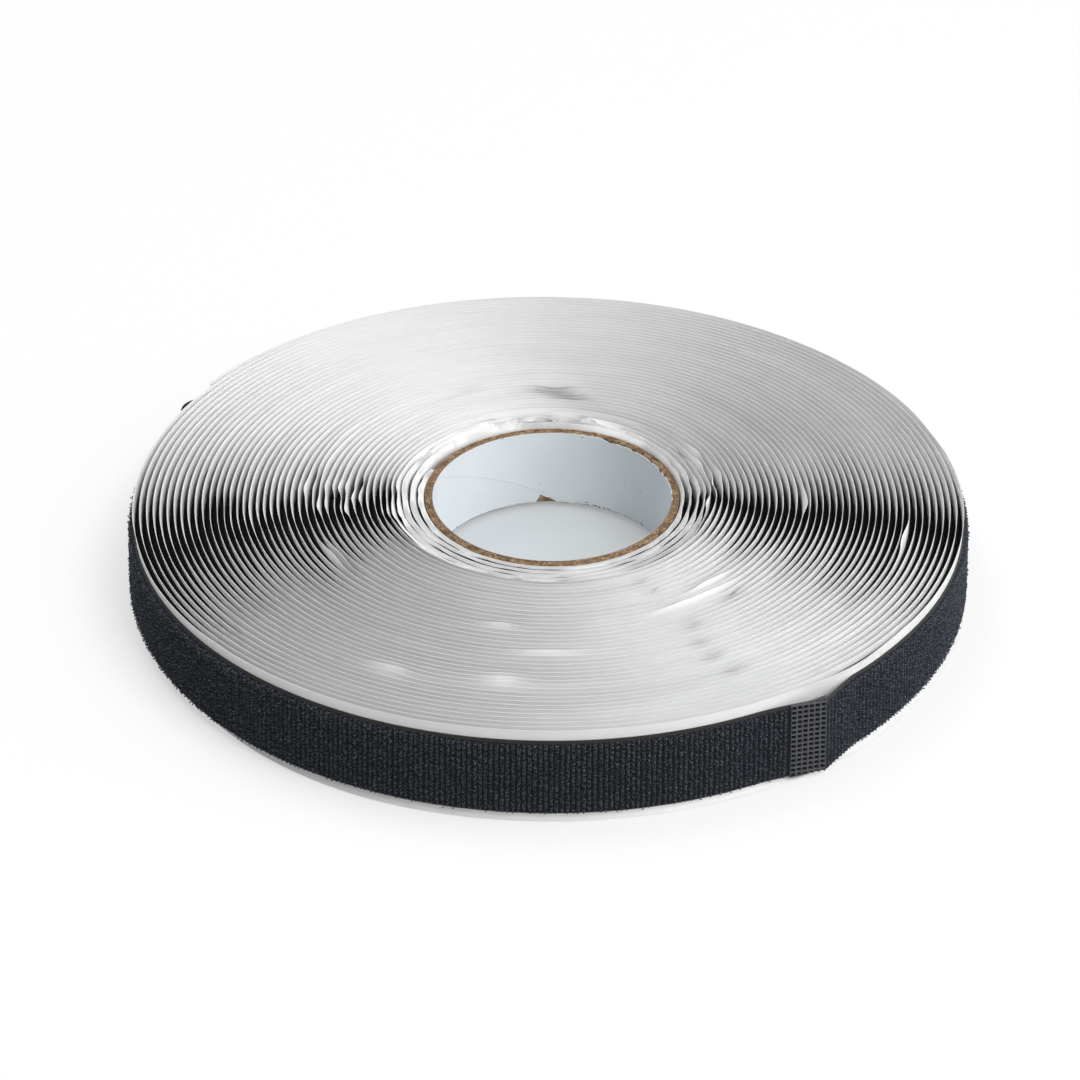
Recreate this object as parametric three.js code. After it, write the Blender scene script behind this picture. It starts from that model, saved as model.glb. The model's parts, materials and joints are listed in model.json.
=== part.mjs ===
// A roll of self-adhesive hook tape, lying flat.
//
// A strip of woven hook tape and the wider paper liner on its sticky back are wound together on a
// paperboard core. The roll's axis is +Z, the table is z = 0, and +X and +Y lie in the table.
// The strip winds anticlockwise from the core outwards, seen from above. The tape is made of two
// lengths, lapped and welded near the front of the last turn, and its free end is a tail that lifts
// off the roll in short hinged steps, with the liner coming away from the tape behind it.

import * as THREE from 'three';

// Driving dimensions, in millimetres
const CORE_BORE = 77;            // inside diameter of the core
const CORE_LENGTH = 27.5;
const FACING_THICKNESS = 0.3;    // white paper that lines the bore
const PLY_THICKNESS = 0.43;      // one layer of kraft board
const GLUE_LINE = 0.12;          // between two layers of the core
const TAPE_WIDTH = 25;
const TAPE_THICKNESS = 1.48;     // adhesive, woven ground and hooks, pressed by the next turn
const LINER_THICKNESS = 0.14;
const LINER_OVERHANG = 3;        // liner past each edge of the tape
const LAYER_GAP = 0.24;          // air between liner and tape, and round the core
const LAP_LENGTH = 14;           // second length of tape over the end of the first
const LAP_STEP_DOWN = 26;        // second length from the lap down to its liner
const TAIL_STEP = 17.5;          // one hinged step of the tail, along the strip
const END_GAP = 0.3;             // between the ends of two pieces that follow each other

// Counts
const PLY_COUNT = 4;             // kraft layers in the core's wall
const PLAIN_TURNS = 21;          // turns next to the core, made as one plain ring
const WOUND_TURNS = 22;          // outer turns, wound one by one
const TURN_STEPS = 24;           // flat facets in a turn
const LAST_TURN_STEPS = 48;      // flat facets in the last turn, which shows most
const ROUND_STEPS = 48;          // flat facets round the core
const TAIL_STEPS = 5;            // hinged steps in the tail

// Angles round the roll, in degrees from +X, anticlockwise
const FULL_TURN = 360;
const FREE_END = 150;            // where the tape is cut off
const LAP_START = -57.5;         // where the second length begins

// Sizes that follow from those above
const LINER_WIDTH = TAPE_WIDTH + 2 * LINER_OVERHANG;
const PITCH = LINER_THICKNESS + TAPE_THICKNESS + 2 * LAYER_GAP;
const FACING_OUTSIDE = CORE_BORE / 2 + FACING_THICKNESS;
const CORE_OUTSIDE = FACING_OUTSIDE + PLY_COUNT * (GLUE_LINE + PLY_THICKNESS);
const CORE_BOTTOM = (LINER_WIDTH - CORE_LENGTH) / 2;
const TOTAL_TURNS = PLAIN_TURNS + WOUND_TURNS;
const WINDING_START = FREE_END - FULL_TURN * WOUND_TURNS;
const LAST_TURN_START = FREE_END - FULL_TURN;

const kraft = new THREE.MeshStandardMaterial({ color: 0x8a6240, roughness: 0.9, metalness: 0 });
const facingPaper = new THREE.MeshStandardMaterial({ color: 0xdfe5ec, roughness: 0.6, metalness: 0 });
const linerPaper = new THREE.MeshStandardMaterial({ color: 0xe4e6e6, roughness: 0.5, metalness: 0 });
const woundStrip = new THREE.MeshStandardMaterial({ color: 0xb9bcbd, roughness: 0.6, metalness: 0 });
const hookTape = new THREE.MeshStandardMaterial({ color: 0x23262b, roughness: 0.8, metalness: 0 });

function named(name, geometry, material) {
  const mesh = new THREE.Mesh(geometry, material);
  mesh.name = name;
  return mesh;
}

// Radius of the strip's two inner faces at an angle counted through the turns
function linerRadius(angle) {
  const turns = TOTAL_TURNS + (angle - FREE_END) / FULL_TURN;
  return CORE_OUTSIDE + LAYER_GAP + turns * PITCH;
}

function tapeRadius(angle) {
  return linerRadius(angle) + LINER_THICKNESS + LAYER_GAP;
}

// The angle that a length along the strip covers at a given radius
function degreesFor(length, radius) {
  return THREE.MathUtils.radToDeg(length / radius);
}

function onCircle(angle, radius) {
  const turn = THREE.MathUtils.degToRad(angle);
  return new THREE.Vector2(radius * Math.cos(turn), radius * Math.sin(turn));
}

// A tube of rectangular section round the roll's axis
function ring(inside, outside, bottom, top) {
  const profile = [
    new THREE.Vector2(inside, bottom),
    new THREE.Vector2(outside, bottom),
    new THREE.Vector2(outside, top),
    new THREE.Vector2(inside, top),
    new THREE.Vector2(inside, bottom),
  ];
  return new THREE.LatheGeometry(profile, ROUND_STEPS).rotateX(Math.PI / 2);
}

// Angles from one end to the other, at both ends and at every facet corner between them
function facetAngles(from, to, facet) {
  const first = Math.floor(from / facet) + 1;
  const last = Math.ceil(to / facet) - 1;
  const angles = [from];
  for (let i = first; i <= last; i += 1) {
    angles.push(i * facet);
  }
  angles.push(to);
  return angles;
}

function windingAngles(from, to) {
  const inner = facetAngles(from, LAST_TURN_START, FULL_TURN / TURN_STEPS);
  const outer = facetAngles(LAST_TURN_START, to, FULL_TURN / LAST_TURN_STEPS);
  return inner.concat(outer.slice(1));
}

// A flat strip on edge: a box section whose inner face passes through the stations, capped at both ends
function strip(stations, thickness, bottom, width) {
  const positions = [];
  for (const { angle, radius } of stations) {
    const inner = onCircle(angle, radius);
    const outer = onCircle(angle, radius + thickness);
    positions.push(inner.x, inner.y, bottom);
    positions.push(outer.x, outer.y, bottom);
    positions.push(outer.x, outer.y, bottom + width);
    positions.push(inner.x, inner.y, bottom + width);
  }
  const corners = 4;
  const triangles = [];
  for (let i = 0; i + 1 < stations.length; i += 1) {
    for (let c = 0; c < corners; c += 1) {
      const here = i * corners + c;
      const beside = i * corners + ((c + 1) % corners);
      triangles.push(here, here + corners, beside);
      triangles.push(beside, here + corners, beside + corners);
    }
  }
  const end = (stations.length - 1) * corners;
  triangles.push(0, 1, 2, 0, 2, 3);
  triangles.push(end, end + 2, end + 1, end, end + 3, end + 2);
  const geometry = new THREE.BufferGeometry();
  geometry.setAttribute('position', new THREE.Float32BufferAttribute(positions, 3));
  geometry.setIndex(triangles);
  geometry.computeVertexNormals();
  return geometry;
}

// Points along one face of a strip, at its corners and between them
function facePoints(stations, offset) {
  const between = 4;
  const points = [];
  for (let i = 0; i + 1 < stations.length; i += 1) {
    const from = onCircle(stations[i].angle, stations[i].radius + offset);
    const to = onCircle(stations[i + 1].angle, stations[i + 1].radius + offset);
    for (let k = 0; k < between; k += 1) {
      const share = k / between;
      const angle = THREE.MathUtils.lerp(stations[i].angle, stations[i + 1].angle, share);
      points.push({ angle, place: from.clone().lerp(to, share) });
    }
  }
  return points;
}

// Least distance from a strip's outer face to the inner face of its own later turns
function leastGapToItself(stations, thickness) {
  const later = facePoints(stations, 0);
  let least = Infinity;
  for (const point of facePoints(stations, thickness)) {
    for (const other of later) {
      if (other.angle - point.angle > FULL_TURN / 2) {
        least = Math.min(least, point.place.distanceTo(other.place));
      }
    }
  }
  return least;
}

// Core: a white facing inside layers of kraft board
function makeCore() {
  const core = new THREE.Group();
  const top = CORE_BOTTOM + CORE_LENGTH;
  core.add(named('core_inner_facing', ring(CORE_BORE / 2, FACING_OUTSIDE, CORE_BOTTOM, top), facingPaper));
  for (let ply = 0; ply < PLY_COUNT; ply += 1) {
    const inside = FACING_OUTSIDE + GLUE_LINE + ply * (GLUE_LINE + PLY_THICKNESS);
    const layer = ring(inside, inside + PLY_THICKNESS, CORE_BOTTOM, top);
    core.add(named(`core_board_ply_${ply + 1}`, layer, kraft));
  }
  return core;
}

// The turns next to the core: a plain ring whose outside is one turn of the spiral
function makePlainTurns() {
  const outside = [];
  for (const angle of facetAngles(WINDING_START, WINDING_START + FULL_TURN, FULL_TURN / TURN_STEPS)) {
    outside.push(onCircle(angle, linerRadius(angle) - LAYER_GAP));
  }
  const hole = [];
  for (let i = 0; i < ROUND_STEPS; i += 1) {
    hole.push(onCircle((i * FULL_TURN) / ROUND_STEPS, CORE_OUTSIDE + LAYER_GAP));
  }
  const shape = new THREE.Shape(outside);
  shape.holes.push(new THREE.Path(hole));
  const geometry = new THREE.ExtrudeGeometry(shape, { depth: LINER_WIDTH, bevelEnabled: false });
  return named('inner_turns', geometry, woundStrip);
}

// Where the tail's hinges are, from its root to the free end
const tailStepAngle = degreesFor(TAIL_STEP, tapeRadius(FREE_END));
const tailRoot = FREE_END - TAIL_STEPS * tailStepAngle;
const halfEndGap = degreesFor(END_GAP, tapeRadius(FREE_END)) / 2;
const windingStart = WINDING_START + degreesFor(END_GAP, linerRadius(WINDING_START));

function linerStations(angles) {
  return angles.map((angle) => ({ angle, radius: linerRadius(angle) }));
}

function tapeStations(angles) {
  return angles.map((angle) => ({ angle, radius: tapeRadius(angle) }));
}

function linerStrip(stations) {
  return strip(stations, LINER_THICKNESS, 0, LINER_WIDTH);
}

function tapeStrip(stations) {
  return strip(stations, TAPE_THICKNESS, LINER_OVERHANG, TAPE_WIDTH);
}

// The second length begins one layer out, over the end of the first, then steps down to its liner
const lapEnd = LAP_START + degreesFor(LAP_LENGTH, tapeRadius(LAP_START));
const clearOfLap = lapEnd + degreesFor(TAPE_THICKNESS, tapeRadius(LAP_START));
const stepDownEnd = lapEnd + degreesFor(LAP_STEP_DOWN, tapeRadius(LAP_START));

function lapLift(angle) {
  const share = 1 - THREE.MathUtils.smoothstep(angle, clearOfLap, stepDownEnd);
  return share * (TAPE_THICKNESS + LAYER_GAP);
}

function secondLengthStations() {
  const facet = FULL_TURN / LAST_TURN_STEPS;
  const lap = facetAngles(LAP_START, clearOfLap, facet);
  const stepDown = facetAngles(clearOfLap, stepDownEnd, facet);
  const rest = facetAngles(stepDownEnd, tailRoot - halfEndGap, facet);
  const angles = lap.concat(stepDown.slice(1), rest.slice(1));
  return angles.map((angle) => ({ angle, radius: tapeRadius(angle) + lapLift(angle) }));
}

function makeWinding() {
  const liner = linerStations(windingAngles(windingStart, tailRoot - halfEndGap));
  const firstLength = tapeStations(windingAngles(windingStart, lapEnd));
  console.log('least gap of the liner to itself, mm:', leastGapToItself(liner, LINER_THICKNESS).toFixed(3));
  console.log('least gap of the tape to itself, mm:', leastGapToItself(firstLength, TAPE_THICKNESS).toFixed(3));
  const winding = new THREE.Group();
  winding.add(makePlainTurns());
  winding.add(named('release_liner', linerStrip(liner), linerPaper));
  winding.add(named('hook_tape_first_length', tapeStrip(firstLength), hookTape));
  winding.add(named('hook_tape_second_length', tapeStrip(secondLengthStations()), hookTape));
  return winding;
}

// The tail: short steps of tape and liner, hinged one after another
function makeTail() {
  const tail = new THREE.Group();
  for (let step = 0; step < TAIL_STEPS; step += 1) {
    const from = tailRoot + step * tailStepAngle + halfEndGap;
    const isLast = step === TAIL_STEPS - 1;
    const to = tailRoot + (step + 1) * tailStepAngle - (isLast ? 0 : halfEndGap);
    tail.add(named(`release_liner_tail_${step + 1}`, linerStrip(linerStations([from, to])), linerPaper));
    tail.add(named(`hook_tape_tail_${step + 1}`, tapeStrip(tapeStations([from, to])), hookTape));
  }
  return tail;
}

const roll = new THREE.Group();
roll.add(makeCore());
roll.add(makeWinding());
roll.add(makeTail());

export default roll;
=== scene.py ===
# %% [markdown]
# # A roll of hook tape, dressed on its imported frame
# The real object is one long strip: black woven hook tape with a sticky back, laid on a wider white
# paper liner, and the two wound together on a paperboard core. Everything a viewer sees follows from
# that winding, so this lesson builds the strip as a spiral and lets the look of the roll come out of it.
# The frame gives the sizes and the bodies that move. Work is in millimetres until a mesh is written.

# %% Load the frame
import json
import math

import bpy
import numpy as np
from mathutils import Matrix, Vector


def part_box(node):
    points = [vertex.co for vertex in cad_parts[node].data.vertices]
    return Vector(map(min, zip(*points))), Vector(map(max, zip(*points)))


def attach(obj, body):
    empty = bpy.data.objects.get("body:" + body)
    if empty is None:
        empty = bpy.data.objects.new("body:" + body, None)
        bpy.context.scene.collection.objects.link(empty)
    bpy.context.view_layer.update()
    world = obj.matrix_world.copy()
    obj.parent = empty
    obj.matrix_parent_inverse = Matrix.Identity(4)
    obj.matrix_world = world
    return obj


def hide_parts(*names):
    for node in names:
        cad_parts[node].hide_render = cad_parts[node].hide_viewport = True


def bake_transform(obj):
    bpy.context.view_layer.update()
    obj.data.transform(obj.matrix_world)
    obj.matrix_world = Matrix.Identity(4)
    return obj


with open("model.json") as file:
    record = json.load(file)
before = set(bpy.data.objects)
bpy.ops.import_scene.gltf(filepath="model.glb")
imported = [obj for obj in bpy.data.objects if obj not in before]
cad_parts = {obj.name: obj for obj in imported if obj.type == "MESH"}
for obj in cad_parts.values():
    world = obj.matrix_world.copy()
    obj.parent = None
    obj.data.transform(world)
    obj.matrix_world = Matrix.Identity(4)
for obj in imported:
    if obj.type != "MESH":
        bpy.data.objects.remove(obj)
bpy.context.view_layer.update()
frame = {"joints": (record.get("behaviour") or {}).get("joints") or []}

MM = 0.001

# %% [markdown]
# ## Sizes
# What the frame already knows is read from it: the core's radius, the heights of the tape's and the
# liner's edges and the angles of the tail's hinges. Typing those again would let the two drift apart.

# %% Read sizes from the frame
def box_corners(node):
    """Lowest and highest corner of a frame node, in millimetres."""
    low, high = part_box(node)
    return np.array(low) / MM, np.array(high) / MM


def hinge_angle(name):
    """Angle round the roll's axis of a hinge, in degrees."""
    place = next(joint["pos_m"] for joint in frame["joints"] if joint["name"] == name)
    return math.degrees(math.atan2(place[1], place[0]))


core_low, core_high = box_corners("core_board_ply_4")
facing_high = box_corners("core_inner_facing")[1]
tape_low, tape_high = box_corners("hook_tape_first_length")
liner_low, liner_high = box_corners("release_liner")
core_outside = (core_high[0] - core_low[0]) / 2
tape_bottom, tape_top = tape_low[2], tape_high[2]
liner_bottom, liner_top = liner_low[2], liner_high[2]
overhang = liner_top - tape_top
TAIL_STEPS = 5
hinges = [hinge_angle(f"tape_lift_{k + 1}") for k in range(TAIL_STEPS)]
tail_step = hinges[1] - hinges[0]
FREE_END = hinges[-1] + tail_step
print(f"core {2 * core_outside:.1f} mm across, tape {tape_top - tape_bottom:.1f} mm wide,",
      f"liner {liner_top - liner_bottom:.1f} mm, free end at {FREE_END:.1f} degrees")

# %% [markdown]
# ## The winding
# A place on the strip is given by its turn number, from 0 at the core to 43 at the free end. The angle
# and the radius follow from it, so one array of turn numbers draws a whole length of strip. The real
# roll isn't quite round: it has sagged a little off centre and into a faint oval, which grows with
# each turn, so two slow waves are added to the even spiral.

# %% Spiral
TURNS = 43
TURN_PITCH = 2.1
LAYER_GAP = 0.24
LINER_THICKNESS = 0.12
# Waves round the roll: how many to a turn, and their cosine and sine parts in mm at the last turn
OUT_OF_ROUND = ((1, -1.71, -1.61), (2, 2.36, -0.25))
# Share of a turn in which a layer climbs onto the last: at the core, and more for each further layer
FIRST_CLIMB, CLIMB_GROWTH = 0.2, 0.04


def strip_angle(turn):
    """Angle in radians of a turn number, reached at the free end by the last turn."""
    return np.radians(FREE_END + 360 * (turn - TURNS))


def turn_at(degrees):
    """Turn number of an angle on the last turn, in degrees up to the free end."""
    return TURNS + (np.asarray(degrees, float) - FREE_END) / 360


def layers(turn):
    """Pitches wound up to a turn. Near the core each layer lies on the last and climbs over the strip's
    start in a short stretch; further out the climb has spread over the whole turn."""
    layer = np.floor(turn)
    reach = np.clip(FIRST_CLIMB + CLIMB_GROWTH * layer, 0, 1)
    return layer + np.clip(1 - (1 + layer - turn) / reach, 0, 1)


def liner_radius(turn):
    """Inner face of the liner: radius = core + gap + pitch x layers, plus each wave's cosine and sine
    part times the share of the turns wound so far."""
    angle = strip_angle(turn)
    waves = sum(c * np.cos(k * angle) + s * np.sin(k * angle) for k, c, s in OUT_OF_ROUND)
    return core_outside + LAYER_GAP + TURN_PITCH * layers(turn) + waves * turn / TURNS


def strip_length(turn):
    """Length of strip up to a turn: 2 pi (r0 turn + pitch turn squared / 2)."""
    return 2 * np.pi * ((core_outside + LAYER_GAP) * turn + TURN_PITCH * turn ** 2 / 2)


def even_turns(first, last, step):
    """Turn numbers about `step` millimetres of strip apart: the length formula solved for the turn."""
    start, end = strip_length(first), strip_length(last)
    lengths = np.linspace(start, end, max(2, round((end - start) / step) + 1))
    r0 = core_outside + LAYER_GAP
    return (np.sqrt(r0 ** 2 + lengths * TURN_PITCH / np.pi) - r0) / TURN_PITCH


def on_roll(turn, radius, height):
    """Points at the turns' angles, at the given radius and height; the arrays broadcast together."""
    angle = strip_angle(turn)
    return np.stack(np.broadcast_arrays(radius * np.cos(angle), radius * np.sin(angle), height), axis=-1)


print(f"strip {strip_length(TURNS) / 1000:.2f} m long in {TURNS} turns")

# %% [markdown]
# ## Unevenness
# No turn of a real roll is perfect: the paper edges wave, and near the core they buckle into flats.
# Smooth noise on a lattice does this. Its columns go round the roll and its rows follow the turns,
# so neighbouring turns can share a wave, as they do when one turn is pressed on the next.

# %% Ripple noise
def ripple(seed, cells, turn, deep=1.0, soft=True):
    """Noise from -1 to 1: random numbers on a lattice with `cells` columns round the roll and a row
    every `deep` turns, blended between the four nearest, along curves if soft and lines if not."""
    lattice = np.random.default_rng(seed).uniform(-1, 1, (int(TURNS / deep) + 3, cells))
    column = (strip_angle(turn) / (2 * np.pi)) % 1 * cells
    row = np.clip(turn / deep, 0, None)
    left, below = np.floor(column).astype(int), np.floor(row).astype(int)
    across, up = column - left, row - below
    if soft:
        across = across ** 2 * (3 - 2 * across)
        up = up ** 2 * (3 - 2 * up)
    left, right = left % cells, (left + 1) % cells
    low = lattice[below, left] * (1 - across) + lattice[below, right] * across
    high = lattice[below + 1, left] * (1 - across) + lattice[below + 1, right] * across
    return low * (1 - up) + high * up


def smoothstep(value, start, end):
    """0 before start, 1 after end, and t squared (3 - 2t) between them."""
    t = np.clip((np.asarray(value, float) - start) / (end - start), 0, 1)
    return t * t * (3 - 2 * t)


print("ripple of turn 10:", np.round(ripple(1, 24, np.linspace(10, 11, 5)), 2))

# %% [markdown]
# ## Surfaces and pieces
# Strips, rings and hooks are all the same kind of surface: a closed outline carried along a path. The
# outline is one row of a grid of points, the path is the other direction, and the quads follow from
# the grid's numbering. A piece is one or more such surfaces written into one mesh, in metres, with the
# strip's length and height as UV, so that a weave can follow the strip round the roll.

# %% Surface
class Surface:
    """Points in millimetres on a grid (copies, along, around), the quads between them, a UV place and
    a share of a pit for each point, and a finish number for each quad. Caps take the lowest number."""

    def __init__(self, points, uv=None, finish=0, looped=False, pit=None):
        points = np.asarray(points, float)
        if points.ndim == 3:
            points = points[None]
        copies, along, around = points.shape[:3]
        quads, side = self.one_copy(along, around, looped)
        offsets = np.arange(copies)[:, None, None] * along * around
        self.points = points.reshape(-1, 3)
        self.quads = (quads[None] + offsets).reshape(-1, 4)
        self.uv = np.zeros((len(self.points), 2)) if uv is None else np.asarray(uv, float).reshape(-1, 2)
        self.pit = np.zeros(len(self.points)) if pit is None else np.asarray(pit, float).reshape(-1)
        by_side = np.append(np.broadcast_to(finish, around), np.min(finish))
        self.finish = np.tile(by_side[side], copies)

    @staticmethod
    def one_copy(along, around, looped):
        """Quads of one grid: each joins (i, j), (i+1, j), (i+1, j+1), (i, j+1), and an open path gets
        caps between outline points that mirror each other. The second array says which side of the
        outline a quad is on."""
        i = np.arange(along if looped else along - 1)[:, None]
        j = np.arange(around)[None, :]
        ahead, beside = (i + 1) % along, (j + 1) % around
        grid = np.stack([i * around + j, ahead * around + j,
                         ahead * around + beside, i * around + beside], -1)
        side = np.broadcast_to(j, grid.shape[:2])
        quads, sides = [grid.reshape(-1, 4)], [side.reshape(-1)]
        if not looped:
            k = np.arange(around // 2 - 1)
            cap = np.stack([k, k + 1, around - 2 - k, around - 1 - k], -1)
            quads += [cap, cap[:, ::-1] + (along - 1) * around]
            sides += [np.full(len(k), around)] * 2
        return np.concatenate(quads), np.concatenate(sides)


print("a bar with 5 outlines of 4 points has", len(Surface.one_copy(5, 4, looped=False)[0]), "quads")

# %% Pieces
def make_piece(name, surfaces, materials, crease=40):
    """One mesh object in metres from some surfaces; edges sharper than `crease` degrees stay sharp."""
    counts = np.cumsum([0] + [len(s.points) for s in surfaces])
    points = np.concatenate([s.points for s in surfaces]) * MM
    quads = np.concatenate([s.quads + start for s, start in zip(surfaces, counts)])
    corners_flat = quads.reshape(-1)
    mesh = bpy.data.meshes.new(name)
    mesh.vertices.add(len(points))
    mesh.vertices.foreach_set("co", points.reshape(-1))
    mesh.loops.add(len(corners_flat))
    mesh.loops.foreach_set("vertex_index", corners_flat)
    mesh.polygons.add(len(quads))
    mesh.polygons.foreach_set("loop_start", np.arange(0, len(corners_flat), 4))
    mesh.polygons.foreach_set("material_index", np.concatenate([s.finish for s in surfaces]))
    uv = np.concatenate([s.uv for s in surfaces])[corners_flat] * MM
    mesh.uv_layers.new(name="strip").data.foreach_set("uv", uv.reshape(-1))
    pit = np.concatenate([s.pit for s in surfaces])
    if pit.any():
        mesh.attributes.new("pit", "FLOAT", "POINT").data.foreach_set("value", pit)
    for material in materials:
        mesh.materials.append(material)
    mesh.update(calc_edges=True)
    mesh.validate()
    mesh.shade_smooth()
    mesh.set_sharp_from_angle(angle=math.radians(crease))
    piece = bpy.data.objects.new(name, mesh)
    bpy.context.scene.collection.objects.link(piece)
    print(f"{name}: {2 * len(quads)} triangles")
    return piece


def outline(outer, inner):
    """Closed outline of a strip: the outer face's rows upwards, then the inner face's rows downwards."""
    return np.concatenate([outer, inner[:, ::-1]], axis=1)


def settle(piece, slot, *nodes, body="roll"):
    """The piece rides on a body and stands for the nodes it replaces; the slot is not used."""
    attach(piece, body)
    if nodes:
        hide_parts(*nodes)
    return piece


# %% [markdown]
# ## Shader sums
# A finish is mostly arithmetic: a bit of noise times a bit of mask. Wrapping a socket in a class with
# operators lets that be written as it is thought, and each operator adds one Math node.

# %% Value class
class Value:
    """A number over a surface: an output socket whose operators add Math nodes."""

    def __init__(self, finish, socket):
        self.finish, self.socket = finish, socket

    def maths(self, operation, first, second=0.0):
        """One Math node on two numbers or values."""
        return self.finish.node("ShaderNodeMath", {"operation": operation}, {0: first, 1: second})

    def __add__(self, other):
        return self.maths("ADD", self, other)

    def __sub__(self, other):
        return self.maths("SUBTRACT", self, other)

    def __rsub__(self, other):
        return self.maths("SUBTRACT", other, self)

    def __mul__(self, other):
        return self.maths("MULTIPLY", self, other)

    def __gt__(self, other):
        return self.maths("GREATER_THAN", self, other)

    def wave(self):
        """Sine of the value."""
        return self.maths("SINE", self)

    def absolute(self):
        """The value without its sign."""
        return self.maths("ABSOLUTE", self)

    __radd__, __rmul__ = __add__, __mul__


# %% Finish class
class Finish:
    """A material under construction."""

    def __init__(self, name):
        self.material = bpy.data.materials.new(name)
        self.material.use_nodes = True
        self.tree = self.material.node_tree
        self.tree.nodes.clear()

    def node(self, kind, settings=None, inputs=None, output=0):
        """Adds a node: its settings first, then the values or links of its sockets; gives one output."""
        made = self.tree.nodes.new(kind)
        for key, value in (settings or {}).items():
            if key == "stops":
                self.set_stops(made.color_ramp, value)
            else:
                setattr(made, key, value)
        for key, value in (inputs or {}).items():
            if isinstance(value, Value):
                self.tree.links.new(value.socket, made.inputs[key])
            else:
                made.inputs[key].default_value = value
        return Value(self, made.outputs[output]) if made.outputs else made

    @staticmethod
    def set_stops(ramp, stops):
        """Gives a colour ramp its places and colours."""
        while len(ramp.elements) < len(stops):
            ramp.elements.new(0.5)
        for element, (place, shade) in zip(ramp.elements, stops):
            element.position = place
            element.color = (*shade, 1) if len(shade) == 3 else shade

    def place(self):
        """Object coordinates, in metres."""
        return self.node("ShaderNodeTexCoord", output="Object")

    def along_strip(self):
        """The strip's own UV: length along it and height, in metres."""
        uv = self.node("ShaderNodeUVMap", {"uv_map": "strip"})
        return (self.node("ShaderNodeSeparateXYZ", inputs={0: uv}, output=0),
                self.node("ShaderNodeSeparateXYZ", inputs={0: uv}, output=1))

    def height(self):
        """Height above the table, in metres."""
        return self.node("ShaderNodeSeparateXYZ", inputs={0: self.place()}, output=2)

    def angle(self):
        """Angle round the roll's axis, in radians from the right."""
        x = self.node("ShaderNodeSeparateXYZ", inputs={0: self.place()}, output=0)
        y = self.node("ShaderNodeSeparateXYZ", inputs={0: self.place()}, output=1)
        return x.maths("ARCTAN2", y, x)

    def noise(self, scale, detail=3.0, roughness=0.55):
        """Noise from 0 to 1 with about `scale` lumps to the metre."""
        return self.node("ShaderNodeTexNoise", inputs={
            "Vector": self.place(), "Scale": scale, "Detail": detail, "Roughness": roughness})

    def ramp(self, value, *stops):
        """Colour of a value, between stops that are each a place and a colour."""
        return self.node("ShaderNodeValToRGB", {"stops": stops}, {0: value})

    def mix(self, share, first, second):
        """Colour between two colours or colour sockets."""
        first, second = [(*c, 1) if isinstance(c, tuple) else c for c in (first, second)]
        return self.node("ShaderNodeMix", {"data_type": "RGBA"}, {0: share, 6: first, 7: second}, 2)

    def bump(self, height, strength, distance):
        """Normals of a relief, whose full height is a distance in metres."""
        return self.node("ShaderNodeBump", inputs={
            "Strength": strength, "Distance": distance, "Height": height})

    def surface(self, **sockets):
        """Ends the material in one Principled shader with the named sockets."""
        inputs = {key.replace("_", " "): value for key, value in sockets.items()}
        shader = self.node("ShaderNodeBsdfPrincipled", inputs=inputs)
        self.node("ShaderNodeOutputMaterial", inputs={"Surface": shader})
        return self.material


# %% [markdown]
# ## Liner paper
# The liner is a thin bleached paper with a release coating, so it is white, a little cool and glossier
# than plain paper, with faint mottling where the coating is uneven. A fine fibre bump breaks up the
# highlights, and a slower noise changes the gloss from place to place. Close to the core the borders
# were creased, which breaks the coating and whitens the paper. Light gets through such thin paper, so
# it has some subsurface scattering.

# %% Liner paper finish
# Distance in metres from the foot of the roll's axis: creased up to here, smooth from there on
CREASED_TO, SMOOTH_FROM = 0.054, 0.06


def liner_paper():
    """White between two shades by the mean of two noises, and brighter where the paper is creased."""
    finish = Finish("coated_liner_paper")
    mottle = finish.noise(220, detail=4)
    cloud = finish.noise(28, detail=2)
    fibre = finish.noise(3200, detail=2)
    away = finish.node("ShaderNodeVectorMath", {"operation": "LENGTH"}, {0: finish.place()}, "Value")
    creased = finish.node("ShaderNodeMapRange", inputs={
        "Value": away, "From Min": CREASED_TO, "From Max": SMOOTH_FROM, "To Min": 1.0, "To Max": 0.0})
    smooth = finish.mix(mottle * 0.5 + cloud * 0.5, (0.82, 0.835, 0.83), (0.92, 0.925, 0.92))
    return finish.surface(
        Base_Color=finish.mix(creased, smooth, (0.985, 0.99, 0.985)),
        Roughness=0.3 + cloud * 0.22,
        Normal=finish.bump(fibre + mottle * 0.5, 0.12, 0.00004),
        Subsurface_Weight=0.6,
        Subsurface_Radius=(1, 1, 1),
        Subsurface_Scale=0.0005)


LINER_PAPER = liner_paper()
print("liner paper:", len(LINER_PAPER.node_tree.nodes), "nodes")

# %% [markdown]
# ## Core finishes
# The tube is grey-brown board made of recycled fibre, lined with a smooth white sheet. The cut edge of
# the board shows light and dark fibres and a few black specks. The lining is bluish white, scuffed,
# and carries board dust close to its cut edges. It was wound from a strip, so a seam climbs round it.

# %% Kraft board and facing finishes
def kraft_board():
    """Brown from a ramp on 0.45 clumps + 0.55 fibres, and nearly black where a third noise is high."""
    finish = Finish("kraft_board")
    clump = finish.noise(420, detail=5, roughness=0.7)
    fibre = finish.noise(1500, detail=4, roughness=0.75)
    speck = finish.noise(2100, detail=1)
    brown = finish.ramp(
        clump * 0.45 + fibre * 0.55,
        (0.4, (0.06, 0.034, 0.017)), (0.5, (0.22, 0.13, 0.065)), (0.6, (0.46, 0.33, 0.2)))
    colour = finish.mix(speck > 0.66, brown, (0.035, 0.02, 0.012))
    return finish.surface(Base_Color=colour, Roughness=0.82 + fibre * 0.12,
                          Normal=finish.bump(clump + fibre, 0.8, 0.00025))


# The seam's height in mm at the right and its rise in mm to a radian, and its width in metres
SEAM_HEIGHT, SEAM_RISE = -25.34, 18.68
SEAM_WIDTH = 0.0002
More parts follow.
